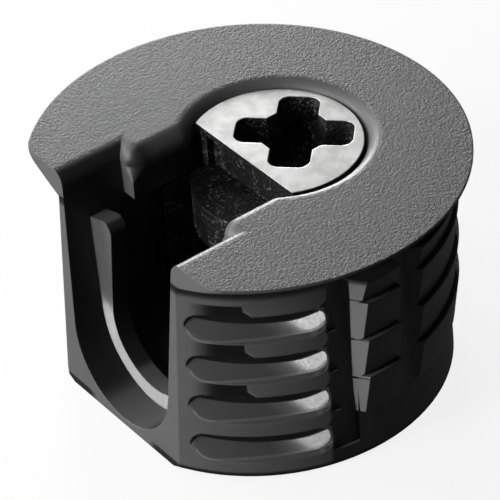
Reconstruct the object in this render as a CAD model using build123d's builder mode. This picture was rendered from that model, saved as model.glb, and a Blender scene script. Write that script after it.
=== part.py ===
# Cam connector for a 20 mm drilling in a 16 mm board: a moulded plastic housing with a zinc cam in it.
# Millimetres. Z is the housing's axis, z = 0 its foot and the rim is on top. The bolt enters from -Y.
import os
from math import cos, radians, sin, sqrt

from build123d import *

os.makedirs("parts", exist_ok=True)

# Barrel and rim. The barrel leans in towards the rim.
height = 12.7
foot_radius = 9.95
neck_radius = 9.45
foot_chamfer = 0.22
rim_radius = 10.98
rim_edge = 0.16
rim_depth = 1.4

# Flat front, leaning back towards the rim, with eased rim corners
front_foot = 8.78
front_top = 8.1
corner_round = 1.6
corner_gap = 0.01

# Bolt slot, open at the front and at the top, with the neck plate standing in it
bolt_height = 4.25
slot_radius = 3.92
slot_half_top = 4.45
plate_front = 6.82
plate_wall = 1.0
plate_shoulder_height = 9.6
plate_tip_height = 10.2
plate_tip_half = 2.45
plate_round = 0.6
plate_radius = 3.02
bay_back = 4.65
throat_half = 3.42
throat_round = 0.95
flare_round = 0.9
flare_rise = 0.75
flare_drop = 0.13

# Cam seat, and the rounded lip of the top opening
cam_offset = 1.7
running_clearance = 0.09
drum_clearance = 0.2
deck = 2.65
lip_round = 0.82
snap_overlap = 0.25
snap_height = 0.5

# Recesses in the shell beside the slot, angles counted from the front towards +X
pocket_rows = 4
pocket_pitch = 2.41
pocket_height = 1.61
pocket_top = 9.9
pocket_start = 32.1
pocket_end = 73.6
pocket_depth = 1.1
pocket_rise = 0.72
floor_facing = 65.0
floor_offset = 8.0
floor_sweep = 25.0
ramp_facing = 45.0
ramp_end = 75.0
ramp_round = 1.2
rib_rows = 3
rib_start = 49.6
rib_height = 0.62
rib_depth = 0.38
rib_bevel_end = 52.2
slope_start = 38.0
slope_overrun = 1.6
relief_start = 69.0
relief_neck = 72.3
relief_merge = 76.8
relief_end = 82.0
relief_depth = 0.16

# Barbs that bite into the drilling
barb_rows = 3
barb_pitch = 2.28
barb_foot = 2.9
barb_top = 11.08
barb_tip_radius = 10.25
barb_foot_radius = 10.03
barb_groove = 0.14
barb_lead = 46.0
barb_overrun = 4.0
barb_sectors = ((80.6, 96.0), (101.5, 152.0))

# Zinc cam
journal_radius = 4.35
journal_sink = 0.27
drum_radius = 5.75
drum_gap = 0.15
face_front = 0.35
face_floor = 10.2
face_lip = 0.32
face_recess = 0.42
face_recess_half = 3.0
head_chamber = 6.7
head_half = 3.45
head_floor = 0.55
hub_radius = 1.9
cam_travel = 180.0
claw_entry = 37.0
claw_start_radius = 5.2
claw_end_radius = 4.3
claw_slot = 4.2
claw_points = 8

# Cross recess for the driver
cross_offset = 1.15
cross_length = 5.95
cross_width = 2.1
cross_depth = 3.0
cross_round = 0.6
cross_corner = 0.45
cross_taper = 6.0

overcut = 1.0
core = neck_radius - pocket_depth
reach = rim_radius + overcut
above = height + overcut
deck_bottom = height - deck
drum_top = deck_bottom - drum_gap
drum_foot = snap_height + drum_gap
journal_top = height - journal_sink
chamber_floor = drum_foot + head_floor
chamber_roof = chamber_floor + head_chamber
flare_top = height - lip_round - flare_drop
flare_foot = flare_top - flare_rise
plate_back = plate_front - plate_wall
bore_radius = drum_radius + drum_clearance
hole_radius = journal_radius + running_clearance
seat = (0, cam_offset)


def azimuth_plane(angle, centre=(0, 0)):
    # Upright plane through a point of the plan: local X points outwards at the angle, local Y is up.
    a = radians(angle)
    return Plane(origin=(*centre, 0), x_dir=(sin(a), -cos(a), 0), z_dir=(-cos(a), -sin(a), 0))


def facing_plane(point, angle):
    # Upright plane through a point of the plan, with its normal at the angle.
    a = radians(angle)
    return Plane(origin=(point[0], point[1], 0), z_dir=(sin(a), -cos(a), 0), x_dir=(cos(a), sin(a), 0))


def barrel_radius(z):
    # Outer radius of the plain barrel at a height.
    return foot_radius + (neck_radius - foot_radius) * z / (height - rim_depth)


def on_barrel(angle, z):
    # Plan point on the plain barrel.
    a = radians(angle)
    return barrel_radius(z) * sin(a), -barrel_radius(z) * cos(a)


def slot_half(z):
    # Half width of the drafted slot above the bolt's axis.
    rise = (z - bolt_height) / (height - bolt_height)
    return slot_radius + (slot_half_top - slot_radius) * rise


def upright_plane(y):
    # Plane facing the front at a depth: local X is +X, local Y is up.
    return Plane(origin=(0, y, 0), x_dir=(1, 0, 0), z_dir=(0, -1, 0))


def slot_section(y, top):
    # Upright section of the drafted slot at a depth from the front, open up to the given height.
    with BuildSketch(upright_plane(y)) as section:
        with Locations((0, bolt_height)):
            Circle(slot_radius)
        with BuildLine():
            Polyline(
                (-slot_radius, bolt_height),
                (-slot_half(top), top),
                (slot_half(top), top),
                (slot_radius, bolt_height),
                close=True,
            )
        make_face()
    return section.sketch


def claw_point(share):
    # Plan point of the spiral at a share of the cam's travel.
    a = radians(claw_entry + (cam_travel - claw_entry / 2) * share)
    radius = claw_start_radius + (claw_end_radius - claw_start_radius) * share
    return radius * sin(a), cam_offset - radius * cos(a)


# Barbs of the +X side
sectors = []
for start, end in barb_sectors:
    with BuildPart() as sector:
        with BuildSketch(azimuth_plane(start - barb_overrun)):
            with BuildLine():
                line = [(core, barb_foot), (barb_foot_radius, barb_foot)]
                for row in range(1, barb_rows + 1):
                    tip = barb_foot + row * barb_pitch
                    line.append((barb_tip_radius, tip))
                    line.append((barb_foot_radius - barb_groove, tip))
                    line.append((barb_foot_radius, tip + barb_groove))
                Polyline(*line, (barb_tip_radius, barb_top), (core, barb_top), close=True)
            make_face()
        revolve(axis=Axis.Z, revolution_arc=end - start + barb_overrun)
        split(bisect_by=facing_plane(on_barrel(start, deck_bottom), start - barb_lead), keep=Keep.BOTTOM)
    sectors.append(sector.part)

# Recesses of the +X side: floors turned about an axis behind the housing's, deepest under their top edges,
# with a blended ramp at the rear and round ends
pocket_middle = (pocket_start + pocket_end) / 2
floor_centre = (-floor_offset * sin(radians(floor_facing)), floor_offset * cos(radians(floor_facing)))
pockets = []
for row in range(pocket_rows):
    top = pocket_top - row * pocket_pitch
    foot = top - pocket_height
    middle = (top + foot) / 2
    with BuildPart() as pocket:
        with BuildSketch(azimuth_plane(floor_facing - floor_sweep, floor_centre)):
            with BuildLine():
                Polyline(
                    (floor_offset + reach, top),
                    (floor_offset + barrel_radius(top) - pocket_depth, top),
                    (floor_offset + barrel_radius(foot) - pocket_depth + pocket_rise, foot),
                    (floor_offset + reach, foot),
                    close=True,
                )
            make_face()
        revolve(axis=Axis((*floor_centre, 0), (0, 0, 1)), revolution_arc=2 * floor_sweep)
        ramp = facing_plane(on_barrel(ramp_end, middle), ramp_facing)
        split(bisect_by=ramp, keep=Keep.TOP)
        ramp_face = pocket.faces().filter_by(ramp)[0]
        fillet(ramp_face.edges().sort_by_distance((0, 0, middle))[0], ramp_round)
        half_span = barrel_radius(middle) * sin(radians(pocket_middle - pocket_start))
        with BuildSketch(facing_plane((0, 0), pocket_middle)):
            with Locations((0, middle)):
                SlotOverall(2 * half_span, pocket_height)
        extrude(amount=reach, mode=Mode.INTERSECT)
    pockets.append(pocket.part)

# Slopes that leave a rib on the land above each of the upper recesses
with BuildPart() as slopes:
    for row in range(rib_rows):
        top = pocket_top - row * pocket_pitch
        deep = Vector(*on_barrel(rib_start, top), top) * (1 - rib_depth / barrel_radius(top))
        deep.Z = top
        outer = Vector(*on_barrel(slope_start, top), top)
        bevel = Vector(*on_barrel(rib_bevel_end, top), top)
        peak = Vector(*on_barrel(rib_start, top + rib_height), top + rib_height)
        with BuildSketch(Plane.XY.offset(top)) as foot_of_slope:
            with BuildLine():
                Polyline(
                    (deep.X, deep.Y),
                    *[tuple(deep + (end - deep) * slope_overrun)[:2] for end in (outer, bevel)],
                    close=True,
                )
            make_face()
        loft([foot_of_slope.sketch.face(), Vertex(*tuple(deep + (peak - deep) * slope_overrun))])

# Relief behind the recesses, turned away from the front; the lands taper out into it
with BuildPart() as relief:
    near = Vector(*on_barrel(relief_start, 0), 0)
    far = Vector(*on_barrel(relief_end, 0), 0) * (1 - relief_depth / foot_radius)
    crest = Vector(*on_barrel(relief_start, height), height)
    along = (far - near).normalized()
    span = (far - near).length
    with BuildSketch(Plane(origin=near, x_dir=along, z_dir=along.cross(crest - near))):
        with BuildLine():
            edge, neck, merge = [
                span * (angle - relief_start) / (relief_end - relief_start)
                for angle in (pocket_end, relief_neck, relief_merge)
            ]
            line = []
            for row in reversed(range(pocket_rows)):
                top = pocket_top - row * pocket_pitch
                line += [(edge, top - pocket_height), (edge, top)]
                line += [(neck, top), (merge, top + pocket_pitch - pocket_height)]
            lowest = line[0][1]
            ceiling = height - rim_depth
            Polyline(*line, (merge, ceiling), (span, ceiling), (span, lowest), close=True)
        make_face()
    extrude(amount=overcut)

# Hollow of the housing: slot, head bay, throat and cam seat, with the neck plate left standing
step_round = min(flare_round, slot_half(flare_top) - throat_half - corner_gap)
with BuildPart() as hollow:
    extrude(slot_section(-bay_back, above), amount=reach - bay_back)
    with BuildSketch(upright_plane(-plate_back)) as plate:
        with BuildLine():
            Polyline(
                (-reach, 0),
                (-reach, plate_shoulder_height),
                (-slot_half(plate_shoulder_height), plate_shoulder_height),
                (-plate_tip_half, plate_tip_height),
                (-plate_radius, bolt_height),
                (plate_radius, bolt_height),
                (plate_tip_half, plate_tip_height),
                (slot_half(plate_shoulder_height), plate_shoulder_height),
                (reach, plate_shoulder_height),
                (reach, 0),
                close=True,
            )
        make_face()
        with Locations((0, bolt_height)):
            Circle(plate_radius, mode=Mode.SUBTRACT)
        fillet(plate.vertices().group_by(Axis.Y)[-1], plate_round)
    extrude(amount=plate_wall, mode=Mode.SUBTRACT)
    extrude(slot_section(cam_offset, deck_bottom), amount=bay_back + cam_offset)
    with BuildSketch(Plane.XY.offset(snap_height)):
        with Locations(seat):
            Circle(bore_radius)
    extrude(amount=deck_bottom - snap_height)
    with BuildSketch():
        with Locations(seat):
            Circle(drum_radius - snap_overlap)
    extrude(amount=snap_height)
    with BuildSketch(Plane.XY.offset(deck_bottom)) as throat:
        with Locations((0, -bay_back)):
            Rectangle(2 * throat_half, bay_back + cam_offset, align=(Align.CENTER, Align.MIN))
        with Locations(seat):
            Circle(hole_radius)
        fillet(throat.vertices().filter_by_position(Axis.Y, -bay_back, 0, (False, False)), throat_round)
    extrude(amount=above - deck_bottom)
    with BuildSketch(Plane.XY.offset(flare_top)) as mouth:
        with Locations((0, -bay_back)):
            Rectangle(2 * slot_half(flare_top), overcut, align=(Align.CENTER, Align.MAX))
            Rectangle(2 * throat_half, bay_back, align=(Align.CENTER, Align.MIN))
        steps = mouth.vertices().filter_by_position(Axis.Y, -bay_back, -bay_back)
        fillet(steps.filter_by_position(Axis.X, -throat_half, throat_half), step_round)
    extrude(amount=above - flare_top)

# Flare rounding the +X corner between the slot and the throat towards the top
with BuildPart() as flare:
    with BuildSketch(Plane.XY.offset(flare_top)) as corner:
        with Locations((throat_half, -bay_back)):
            Rectangle(step_round, step_round, align=(Align.MIN, Align.MIN))
        with Locations((throat_half + step_round, step_round - bay_back)):
            Circle(step_round, mode=Mode.SUBTRACT)
    loft([Vertex(throat_half, -bay_back, flare_foot), corner.sketch.face()])

# Housing: the moulded shell with its rim
with BuildPart() as housing:
    with BuildSketch(Plane.XZ):
        with BuildLine():
            Polyline(
                (0, 0),
                (foot_radius - foot_chamfer, 0),
                (barrel_radius(foot_chamfer), foot_chamfer),
                (neck_radius, height - rim_depth),
                (rim_radius, height - rim_edge),
                (rim_radius, height),
                (0, height),
                close=True,
            )
        make_face()
    revolve(axis=Axis.Z)
    add(relief, mode=Mode.SUBTRACT)
    add(relief.part.mirror(Plane.YZ), mode=Mode.SUBTRACT)
    add(sectors)
    add([sector.mirror(Plane.YZ) for sector in sectors])
    add(pockets, mode=Mode.SUBTRACT)
    add([pocket.mirror(Plane.YZ) for pocket in pockets], mode=Mode.SUBTRACT)
    add(slopes, mode=Mode.SUBTRACT)
    add(slopes.part.mirror(Plane.YZ), mode=Mode.SUBTRACT)

    # Leaning front with eased rim corners
    with BuildSketch(Plane.XY.offset(height)) as outline:
        Circle(rim_radius + corner_gap)
        with Locations((0, -front_top)):
            Rectangle(2 * reach, reach, align=(Align.CENTER, Align.MAX), mode=Mode.SUBTRACT)
        fillet(outline.vertices().sort_by(Axis.Y)[:2], corner_round)
        Rectangle(2 * reach, reach, align=(Align.CENTER, Align.MIN))
    lean = Vector(0, front_top - front_foot, -height)
    extrude(outline.sketch, amount=lean.length, dir=lean, mode=Mode.INTERSECT)

    add(hollow, mode=Mode.SUBTRACT)

    # Rounded lip of the top opening
    lip = housing.faces().sort_by(Axis.Z)[-1].edges()
    fillet(lip.filter_by(lambda e: (e @ 0.5 - (0, 0, height)).length < neck_radius), lip_round)
    add(flare, mode=Mode.SUBTRACT)
    add(flare.part.mirror(Plane.YZ), mode=Mode.SUBTRACT)

# Cam: drum with its head chamber, journal and driver recess
with BuildPart() as cam:
    with BuildSketch(Plane.XY.offset(drum_foot)):
        with Locations(seat):
            Circle(drum_radius)
    extrude(amount=drum_top - drum_foot)

    # Mouth for the bolt head, open at the front and above
    with BuildSketch(Plane.XY.offset(chamber_floor)):
        with Locations(seat):
            Rectangle(2 * head_half, reach, align=(Align.CENTER, Align.MAX))
            Circle(hub_radius, mode=Mode.SUBTRACT)
    extrude(amount=drum_top - chamber_floor, mode=Mode.SUBTRACT)

    # Chamber that spirals inwards from the mouth round the +X side
    with BuildSketch(Plane.XY.offset(chamber_floor)):
        with BuildLine():
            inner = Spline(*[claw_point(step / claw_points) for step in range(claw_points + 1)])
            Line(inner @ 1, seat)
            Line(seat, inner @ 0)
        make_face()
        with Locations(seat):
            Circle(hub_radius, mode=Mode.SUBTRACT)
    extrude(amount=head_chamber, mode=Mode.SUBTRACT)

    # Neck slot through the claw
    with BuildSketch(Plane.XY.offset(bolt_height - claw_slot / 2)):
        with BuildLine():
            outer = CenterArc(seat, reach, -90, cam_travel)
            Line(outer @ 1, seat)
            Line(seat, outer @ 0)
        make_face()
        with Locations(seat):
            Rectangle(claw_slot, reach)
            Circle(hub_radius, mode=Mode.SUBTRACT)
    extrude(amount=claw_slot, mode=Mode.SUBTRACT)

    # Journal with its stepped-down front
    with BuildSketch(Plane.XY.offset(chamber_roof)):
        with Locations(seat):
            Circle(journal_radius)
    extrude(amount=journal_top - chamber_roof)
    with BuildSketch(Plane.XY.offset(face_floor)):
        with Locations((0, -face_front)):
            Rectangle(2 * reach, reach, align=(Align.CENTER, Align.MAX))
    extrude(amount=above - face_floor, mode=Mode.SUBTRACT)
    with BuildSketch(Plane.XY.offset(face_floor)):
        with Locations((0, face_recess - face_front)):
            Rectangle(2 * face_recess_half, reach, align=(Align.CENTER, Align.MAX))
    extrude(amount=journal_top - face_lip - face_floor, mode=Mode.SUBTRACT)

    # Cross recess
    with BuildSketch(Plane.XY.offset(journal_top)):
        with Locations((0, cam_offset + cross_offset)):
            for turn in (45, -45):
                RectangleRounded(cross_length, cross_width, cross_round, rotation=turn)
            side = (cross_width + cross_corner) * sqrt(2)
            Rectangle(side, side)
    extrude(amount=-cross_depth, taper=cross_taper, mode=Mode.SUBTRACT)

housing.part.label = "housing"
cam.part.label = "cam"
export_step(housing.part, "parts/housing.step")
export_step(cam.part, "parts/cam.step")
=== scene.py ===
import math

import bpy
from mathutils import Matrix, Vector


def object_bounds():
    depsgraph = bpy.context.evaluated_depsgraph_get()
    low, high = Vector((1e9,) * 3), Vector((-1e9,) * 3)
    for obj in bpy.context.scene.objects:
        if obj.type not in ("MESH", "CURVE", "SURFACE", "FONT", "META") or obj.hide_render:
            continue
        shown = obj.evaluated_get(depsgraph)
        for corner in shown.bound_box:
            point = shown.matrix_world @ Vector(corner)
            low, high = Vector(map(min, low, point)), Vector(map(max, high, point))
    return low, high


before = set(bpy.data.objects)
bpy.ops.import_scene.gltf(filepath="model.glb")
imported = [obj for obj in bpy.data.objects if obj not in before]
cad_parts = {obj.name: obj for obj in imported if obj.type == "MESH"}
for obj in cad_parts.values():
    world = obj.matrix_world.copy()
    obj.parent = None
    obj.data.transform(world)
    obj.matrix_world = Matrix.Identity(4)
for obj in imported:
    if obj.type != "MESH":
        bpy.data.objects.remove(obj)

cadLow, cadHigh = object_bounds()
print("frame loaded:", sorted(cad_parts))

millimetre = 0.001


class Wire:
    # an output socket that can be used in sums, so shader maths reads as maths

    def __init__(self, socket):
        self.socket = socket

    def node(self, kind, settings=None, sockets=None, out=0):
        # any other node of the same tree: its type, its settings, then its sockets
        made = self.socket.id_data.nodes.new(kind)
        for name, value in (settings or {}).items():
            setattr(made, name, value)
        for name, value in (sockets or {}).items():
            if isinstance(value, Wire):
                made.id_data.links.new(value.socket, made.inputs[name])
            else:
                made.inputs[name].default_value = value
        return Wire(made.outputs[out])

    def math(self, operation, *terms):
        return self.node("ShaderNodeMath", {"operation": operation}, dict(enumerate(terms)))

    def __add__(self, other):
        return self.math("ADD", self, other)

    def __radd__(self, other):
        return self.math("ADD", other, self)

    def __sub__(self, other):
        return self.math("SUBTRACT", self, other)

    def __rsub__(self, other):
        return self.math("SUBTRACT", other, self)

    def __mul__(self, other):
        return self.math("MULTIPLY", self, other)

    def __rmul__(self, other):
        return self.math("MULTIPLY", other, self)

    def __pow__(self, other):
        return self.math("POWER", self, other)

    def __abs__(self):
        return self.math("ABSOLUTE", self)

    def __mod__(self, other):
        return self.math("FLOORED_MODULO", self, other)

    def orMore(self, other):
        # the greater of the two
        return self.math("MAXIMUM", self, other)

    def axis(self, index):
        return self.node("ShaderNodeSeparateXYZ", {}, {0: self}, out=index)

    def dot(self, direction):
        return self.node("ShaderNodeVectorMath", {"operation": "DOT_PRODUCT"}, {0: self, 1: direction}, out=1)

    def above(self, low, high):
        # 0 below low, 1 above high, smooth in between
        return self.node(
            "ShaderNodeMapRange",
            {"interpolation_type": "SMOOTHSTEP"},
            {"Value": self, "From Min": low, "From Max": high},
        )

    def below(self, low, high):
        # 1 below low, 0 above high
        return 1 - self.above(low, high)

    def blend(self, low, high):
        # two colours mixed by this mask
        shades = [(*c, 1.0) if isinstance(c, tuple) else c for c in (low, high)]
        return self.node("ShaderNodeMix", {"data_type": "RGBA"}, {0: self, 6: shades[0], 7: shades[1]}, out=2)

    def noise(self, scale, detail, roughness):
        # a noise over this place, from 0 to 1
        sockets = {"Vector": self, "Scale": scale, "Detail": detail, "Roughness": roughness}
        return self.node("ShaderNodeTexNoise", {}, sockets)

    def rounded(self, radius, samples=6):
        # the facing of the surface with its edges rounded off
        return self.node("ShaderNodeBevel", {"samples": samples}, {"Radius": radius * millimetre})

    def bumped(self, relief, depth):
        # this facing with a relief in it
        sockets = {"Height": relief, "Distance": depth * millimetre, "Normal": self}
        return self.node("ShaderNodeBump", {}, sockets)


def newFinish(name):
    # an empty material and its object coordinates, in millimetres
    finish = bpy.data.materials.new(name)
    finish.use_nodes = True
    tree = finish.node_tree
    tree.nodes.clear()
    place = Wire(tree.nodes.new("ShaderNodeTexCoord").outputs["Object"])
    scaled = place.node("ShaderNodeVectorMath", {"operation": "SCALE"}, {0: place, "Scale": 1 / millimetre})
    return finish, scaled


def putOut(finish, shader):
    end = finish.node_tree.nodes.new("ShaderNodeOutputMaterial")
    finish.node_tree.links.new(shader.socket, end.inputs["Surface"])


def aimed(azimuth, elevation=0.0):
    # direction with an azimuth from the front towards +X
    a, e = math.radians(azimuth), math.radians(elevation)
    return (math.sin(a) * math.cos(e), -math.cos(a) * math.cos(e), math.sin(e))


# colours and grain of the housing, lengths in millimetres
plastic = {
    "dark": (0.078, 0.078, 0.080),
    "pale": (0.112, 0.112, 0.115),
    # near-black colour of painted shade and painted shadow
    "recess": (0.008, 0.008, 0.008),
    "baseTint": 0.15,
    "cloudTint": 0.7,
    "grainTint": 4.4,
    "roughness": 0.46,
    "ior": 1.5,
    "edgeRadius": 0.12,
    # noises: scale per millimetre, detail, roughness
    "cloud": (0.42, 3.0, 0.5),
    "grain": (7.6, 2.0, 0.6),
    "fine": (17.0, 2.0, 0.5),
    "fineShare": 0.12,
    "grainDepth": 0.052,
    "grainSunk": 0.016,
    "grainFoot": (12.45, 12.55),
    "facesUp": (0.955, 0.995),
    # how far each kind of place is darkened towards the near-black colour, which is painted shade
    "paintedShadeShare": {"scoopFloor": 0.4, "dip": 0.5, "innerWall": 0.92, "farLip": 0.92},
    # what each kind of place adds to the roughness
    "roughening": {"grain": 0.2, "topFace": 0.12, "ramp": -0.16, "band": -0.16, "shadow": 0.4},
    # how far the shading turns at each kind of place, and to which azimuth and elevation
    "turns": {
        "ramp": (1.0, 22.5, 26.5),
        "band": (1.0, 22.5, 26.5),
        "brink": (0.6, 30.0, 55.0),
        "dip": (1.0, 78.0, -30.0),
        "startFace": (0.78, 22.5, 26.5),
        "hollow": (1.0, 95.0, -20.0),
        "shadow": (1.0, 60.0, -60.0),
    },
}

# places on the skirt, in millimetres and degrees; a pair is where a mask begins and where it is full
skirt = {
    "footRadius": 9.95,
    "draft": 0.0442,
    "middle": 52.85,
    "near": (7.2, 7.3),
    "leansBack": (0.6, 0.9),
    # recesses: level counts down from the top of each
    "top": 9.9,
    "pitch": 2.41,
    "scoopHeight": 1.61,
    "halfSpan": 3.35,
    "rowsFoot": (0.95, 1.0),
    "rowsTop": (9.9, 9.95),
    "outline": (0.0, 0.04),
    "rampTop": -0.3,
    "rampLean": 1.25,
    "rampFade": (-1.1, 1.1),
    "roofSlope": 1.3,
    "roofFade": (-0.04, 0.1),
    "brinkWidth": (0.07, 0.2),
    "brinkStart": (0.05, 0.35),
    # lands between the recesses, which fall away before each rib
    "landStart": (1.61, 1.66),
    "landFoot": (4.0, 4.1),
    "landTop": (10.5, 10.62),
    "dipStart": (-3.3, -1.7),
    "ribStart": (-0.6, -0.56),
    # barbs, and the hollow beside them
    "barbTurn": 34.6,
    "barbFacing": (0.75, 0.85),
    "barbStart": (4.46, 4.54),
    "barbFoot": (2.65, 2.75),
    "barbParting": (0.06, 0.14),
    "hollowStart": (3.3, 3.6),
    "hollowEnd": (5.1, 5.2),
    "hollowDepth": (-0.1, -0.05),
    "hollowTop": (10.9, 11.1),
}

# places of painted shade and painted shadow under the rim, round the foot and in the slot, and of the neck
# plate's lower front, as pairs again
shelter = {
    "wallRadius": (9.0, 9.3),
    "rimShade": (10.75, 11.25),
    "rimUnderside": (11.3, 11.45),
    "facesDown": (-0.1, 0.0),
    "footShade": (0.25, 0.5),
    "facesAxis": (-2.0, -0.5),
    "innerTop": (11.5, 11.9),
    "facesAcross": (0.2, 0.55),
    "farSide": (-1.5, -1.0),
    "slotSide": (-4.0, -3.0),
    "plateFront": -6.82,
    "plateSkin": (0.05, 0.15),
    "facesFront": (0.9, 0.98),
    "bandTop": (4.0, 6.5),
}


def skirtMasks(place, facing, radial):
    # recesses, ramps, lands and barbs on the +X side
    height = place.axis(2)
    near = place.dot(aimed(skirt["middle"])).above(*skirt["near"]) * facing.axis(2).below(*skirt["leansBack"])
    sunk = skirt["footRadius"] - height * skirt["draft"] - radial
    along = place.dot(aimed(skirt["middle"] + 90.0))
    level = (skirt["top"] - height) % skirt["pitch"]

    # each recess is a slot outline, and inside is how deep a place lies within it
    radius = skirt["scoopHeight"] / 2
    fall = level - radius
    beyond = (abs(along) - (skirt["halfSpan"] - radius)).orMore(0.0)
    inside = radius - (beyond * beyond + fall * fall) ** 0.5
    rows = height.above(*skirt["rowsFoot"]) * height.below(*skirt["rowsTop"])
    within = inside.above(*skirt["outline"]) * near * rows
    ramp = (along - skirt["rampTop"] - level * skirt["rampLean"]).above(*skirt["rampFade"]) * within
    # painted shadow of each recess's roof across the top of its floor
    roofLine = (level - sunk * skirt["roofSlope"]).below(*skirt["roofFade"]) * within
    brink = inside.below(*skirt["brinkWidth"]) * within * fall.above(*skirt["brinkStart"])

    landRows = height.above(*skirt["landFoot"]) * height.below(*skirt["landTop"])
    land = near * landRows * level.above(*skirt["landStart"])
    dip = land * along.above(*skirt["dipStart"]) * along.below(*skirt["ribStart"])

    startFace = (
        facing.dot(aimed(skirt["barbTurn"])).above(*skirt["barbFacing"])
        * near
        * along.above(*skirt["barbStart"])
        * height.above(*skirt["barbFoot"])
        * level.above(*skirt["barbParting"])
    )
    hollow = (
        near
        * along.above(*skirt["hollowStart"])
        * along.below(*skirt["hollowEnd"])
        * (1 - startFace)
        * sunk.above(*skirt["hollowDepth"])
        * height.below(*skirt["hollowTop"])
    )
    return {
        "scoopFloor": within * (1 - ramp),
        "ramp": ramp,
        "roofLine": roofLine,
        "brink": brink,
        "dip": dip,
        "startFace": startFace,
        "hollow": hollow,
    }


def shadeAndBandMasks(place, facing, radial):
    # painted shadow under the rim and round the foot, painted shade on the slot's inner walls and far lip,
    # and the neck plate's lower front
    across, depth, height = (place.axis(i) for i in range(3))
    skirtWall = radial.above(*shelter["wallRadius"])
    underside = facing.axis(2).above(*shelter["facesDown"]) * height.above(*shelter["rimUnderside"])
    outwardness = across * facing.axis(0) + depth * facing.axis(1)
    return {
        "underRim": skirtWall * height.above(*shelter["rimShade"]) * (1 - underside),
        "footLine": skirtWall * height.below(*shelter["footShade"]),
        "innerWall": outwardness.below(*shelter["facesAxis"]) * height.below(*shelter["innerTop"]),
        "farLip": facing.dot(aimed(90.0)).above(*shelter["facesAcross"])
        * across.below(*shelter["farSide"])
        * depth.below(*shelter["slotSide"]),
        "band": facing.dot(aimed(0.0)).above(*shelter["facesFront"])
        * abs(depth - shelter["plateFront"]).below(*shelter["plateSkin"])
        * height.below(*shelter["bandTop"]),
    }


def plasticFinish():
    finish, place = newFinish("housingPlastic")
    facing = place.node("ShaderNodeNewGeometry", {}, {}, out=1)
    across, depth, height = (place.axis(i) for i in range(3))
    radial = (across * across + depth * depth) ** 0.5
    at = {**skirtMasks(place, facing, radial), **shadeAndBandMasks(place, facing, radial)}
    # painted shadows under the recesses' roofs, under the rim and round the foot, which take the near-black
    # colour
    at["shadow"] = at["roofLine"].orMore(at["underRim"]).orMore(at["footLine"])

    # the rim's upper face is spark eroded and lies a little below the smooth lips
    at["topFace"] = facing.axis(2).above(*plastic["facesUp"]) * height.above(*plastic["grainFoot"])
    at["grain"] = grain = place.noise(*plastic["grain"]) - 0.5
    fine = (place.noise(*plastic["fine"]) - 0.5) * (1 - at["ramp"])
    sunk = plastic["grainSunk"] / plastic["grainDepth"]
    relief = at["topFace"] * (grain - sunk) + fine * plastic["fineShare"]

    turned = place.rounded(plastic["edgeRadius"])
    for name, (share, azimuth, elevation) in plastic["turns"].items():
        sockets = {0: at[name] * share, 4: turned, 5: aimed(azimuth, elevation)}
        turned = turned.node("ShaderNodeMix", {"data_type": "VECTOR"}, sockets, out=1)
    straight = turned.node("ShaderNodeVectorMath", {"operation": "NORMALIZE"}, {0: turned})

    cloud = place.noise(*plastic["cloud"])
    tint = cloud * plastic["cloudTint"] + grain * at["topFace"] * plastic["grainTint"] + plastic["baseTint"]
    skin = tint.blend(plastic["dark"], plastic["pale"])
    # painted shade: the recess floors, the dips before the ribs, the slot's inner walls and its far lip are
    # darkened towards the near-black colour
    parts = {name: at[name] * share for name, share in plastic["paintedShadeShare"].items()}
    paintedShadeShare = parts["scoopFloor"] + parts["dip"] + parts["innerWall"].orMore(parts["farLip"])
    paintedShadeSkin = paintedShadeShare.blend(skin, plastic["recess"])
    shade = at["shadow"].blend(paintedShadeSkin, plastic["recess"])

    rough = plastic["roughness"]
    for name, share in plastic["roughening"].items():
        rough = rough + at[name] * share

    sockets = {"Base Color": shade, "Roughness": rough, "IOR": plastic["ior"]}
    sockets["Normal"] = straight.bumped(relief, plastic["grainDepth"])
    putOut(finish, place.node("ShaderNodeBsdfPrincipled", {}, sockets))
    return finish


# the cam: its face is rubbed bright, and the rest is as cast and painted near black as shade, with painted
# glints; lengths in millimetres
zinc = {
    "bright": (0.74, 0.74, 0.73),
    "dull": (0.52, 0.52, 0.51),
    # near-black colour of the cast parts, which is painted shade
    "castPaintedShade": (0.03, 0.03, 0.03),
    "metal": 1.0,
    "rubbedMetal": 0.75,
    "roughness": 0.42,
    "castRoughness": 0.1,
    "pitRoughness": 0.3,
    "edgeRadius": 0.06,
    "reliefDepth": 0.05,
    "rubbedRelief": 0.1,
    "face": (12.38, 12.42),
    # noises: scale per millimetre, detail, roughness
    "blotch": (0.9, 4.0, 0.6),
    "pits": (7.0, 3.0, 0.65),
    "wear": (0.3, 0.7),
    "paintedSparkle": (0.5, 0.7),
    "sparklePatch": (0.46, 0.62),
    "sparkleLeast": 0.15,
    "sparkleShade": 0.55,
}


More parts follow.
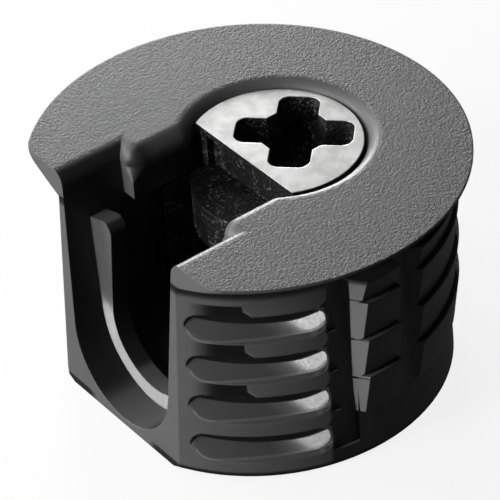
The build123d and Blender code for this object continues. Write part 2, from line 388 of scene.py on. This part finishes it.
def zincFinish():
    finish, place = newFinish("camZinc")
    blotch = place.noise(*zinc["blotch"])
    pits = place.noise(*zinc["pits"])
    rubbed = place.axis(2).above(*zinc["face"])
    castPaintedShade = 1 - rubbed

    # painted glints on the cast skin, in patches
    patch = blotch.above(*zinc["sparklePatch"]) * (1 - zinc["sparkleLeast"]) + zinc["sparkleLeast"]
    paintedSparkle = pits.above(*zinc["paintedSparkle"]) * castPaintedShade * patch
    worn = blotch.above(*zinc["wear"]).blend(zinc["dull"], zinc["bright"])
    # the cast parts take the painted shade colour, and painted glints go towards the worn colour
    shade = (rubbed + paintedSparkle * zinc["sparkleShade"]).blend(zinc["castPaintedShade"], worn)
    rough = zinc["roughness"] + (pits - 0.5) * zinc["pitRoughness"] + castPaintedShade * zinc["castRoughness"]
    metal = zinc["metal"] - rubbed * (zinc["metal"] - zinc["rubbedMetal"])
    relief = (pits - 0.5) * (castPaintedShade * (1 - zinc["rubbedRelief"]) + zinc["rubbedRelief"])

    sockets = {"Base Color": shade, "Roughness": rough, "Metallic": metal}
    sockets["Normal"] = place.rounded(zinc["edgeRadius"]).bumped(relief, zinc["reliefDepth"])
    putOut(finish, place.node("ShaderNodeBsdfPrincipled", {}, sockets))
    return finish


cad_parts["housing"].material_slots[0].material = plasticFinish()
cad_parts["cam"].material_slots[0].material = zincFinish()
print("finishes made")


studio = {
    "floorHalf": 2.0,
    "floorShade": (0.9, 0.9, 0.9),
    "floorBounce": (0.04, 0.04, 0.04),
    "floorGlow": 0.85,
    # how much of the white surroundings reflections show
    "mirrored": 0.1,
    "lampDistance": 0.16,
    # name: azimuth, elevation, size, power
    "lamps": {
        "backLeft": (-120.0, 11.0, 0.06, 0.22),
        "left": (-88.0, 32.0, 0.06, 0.07),
        "sideLeft": (-55.0, 22.0, 0.05, 0.08),
        "frontLeft": (-38.0, 12.0, 0.05, 0.09),
        "front": (-6.0, 34.0, 0.07, 0.12),
        "glint": (-2.0, 9.0, 0.03, 0.13),
    },
}

white = (1.0, 1.0, 1.0, 1.0)


def whiteSeen(wire):
    # full for the camera and through glass, a share of it in reflections, nothing for the light
    camera, glossy, through = (wire.node("ShaderNodeLightPath", {}, {}, out=i) for i in (0, 3, 6))
    return camera.orMore((glossy * studio["mirrored"]).orMore(through))


def makeFloor():
    size = studio["floorHalf"]
    mesh = bpy.data.meshes.new("floor")
    corners = [(-size, -size, 0), (size, -size, 0), (size, size, 0), (-size, size, 0)]
    mesh.from_pydata(corners, [], [(0, 1, 2, 3)])
    floor = bpy.data.objects.new("floor", mesh)
    bpy.context.collection.objects.link(floor)
    floor.location.z = cadLow.z
    finish, place = newFinish("floorWhite")
    paper = place.node("ShaderNodeBsdfDiffuse", {}, {"Color": (*studio["floorShade"], 1.0)})
    dim = place.node("ShaderNodeBsdfDiffuse", {}, {"Color": (*studio["floorBounce"], 1.0)})
    glow = place.node("ShaderNodeEmission", {}, {"Color": white, "Strength": 1.0})
    lit = place.node("ShaderNodeMixShader", {}, {0: studio["floorGlow"], 1: paper, 2: glow})
    putOut(finish, place.node("ShaderNodeMixShader", {}, {0: whiteSeen(place), 1: dim, 2: lit}))
    mesh.materials.append(finish)


def makeLamp(name, azimuth, elevation, size, power):
    # an area lamp that looks at the middle of the object
    away = Vector(aimed(azimuth, elevation))
    light = bpy.data.lights.new(name, "AREA")
    light.shape = "DISK"
    light.size = size
    light.energy = power
    lamp = bpy.data.objects.new(name, light)
    bpy.context.collection.objects.link(lamp)
    lamp.location = (cadLow + cadHigh) / 2 + away * studio["lampDistance"]
    lamp.rotation_euler = away.to_track_quat("Z", "Y").to_euler()


def makeWorld():
    # white where it is seen, and dark for the light
    world = bpy.data.worlds.new("studio")
    bpy.context.scene.world = world
    world.use_nodes = True
    tree = world.node_tree
    tree.nodes.clear()
    start = Wire(tree.nodes.new("ShaderNodeLightPath").outputs["Is Camera Ray"])
    dark = start.node("ShaderNodeBackground", {}, {"Color": white, "Strength": 0.0})
    bright = start.node("ShaderNodeBackground", {}, {"Color": white, "Strength": 1.0})
    sky = start.node("ShaderNodeMixShader", {}, {0: whiteSeen(start), 1: dark, 2: bright})
    end = tree.nodes.new("ShaderNodeOutputWorld")
    tree.links.new(sky.socket, end.inputs["Surface"])


# angles in degrees, places in metres, lens and sensor in millimetres
camera = {
    "azimuth": 54.12,
    "elevation": 38.28,
    "roll": -3.54,
    "distance": 0.15465,
    "aside": -0.000545,
    "raised": 0.00505,
    "lens": 216.0,
    "sensor": 36.0,
    "clipStart": 0.01,
}


def makeCamera():
    roll = math.radians(camera["roll"])
    back = Vector(aimed(camera["azimuth"], camera["elevation"]))
    level = (-back).cross(Vector((0, 0, 1))).normalized()
    upright = level.cross(-back)
    right = math.cos(roll) * level + math.sin(roll) * upright
    up = math.cos(roll) * upright - math.sin(roll) * level
    place = back * camera["distance"] + right * camera["aside"] + up * camera["raised"]
    lens = bpy.data.cameras.new("camera")
    lens.lens = camera["lens"]
    lens.sensor_width = camera["sensor"]
    lens.clip_start = camera["clipStart"]
    eye = bpy.data.objects.new("camera", lens)
    bpy.context.collection.objects.link(eye)
    eye.matrix_world = Matrix.Translation(place) @ Matrix((right, up, back)).transposed().to_4x4()
    bpy.context.scene.camera = eye


makeFloor()
for name, settings in studio["lamps"].items():
    makeLamp(name, *settings)
makeWorld()
makeCamera()
bpy.context.scene.view_settings.view_transform = "Standard"
print("studio made")
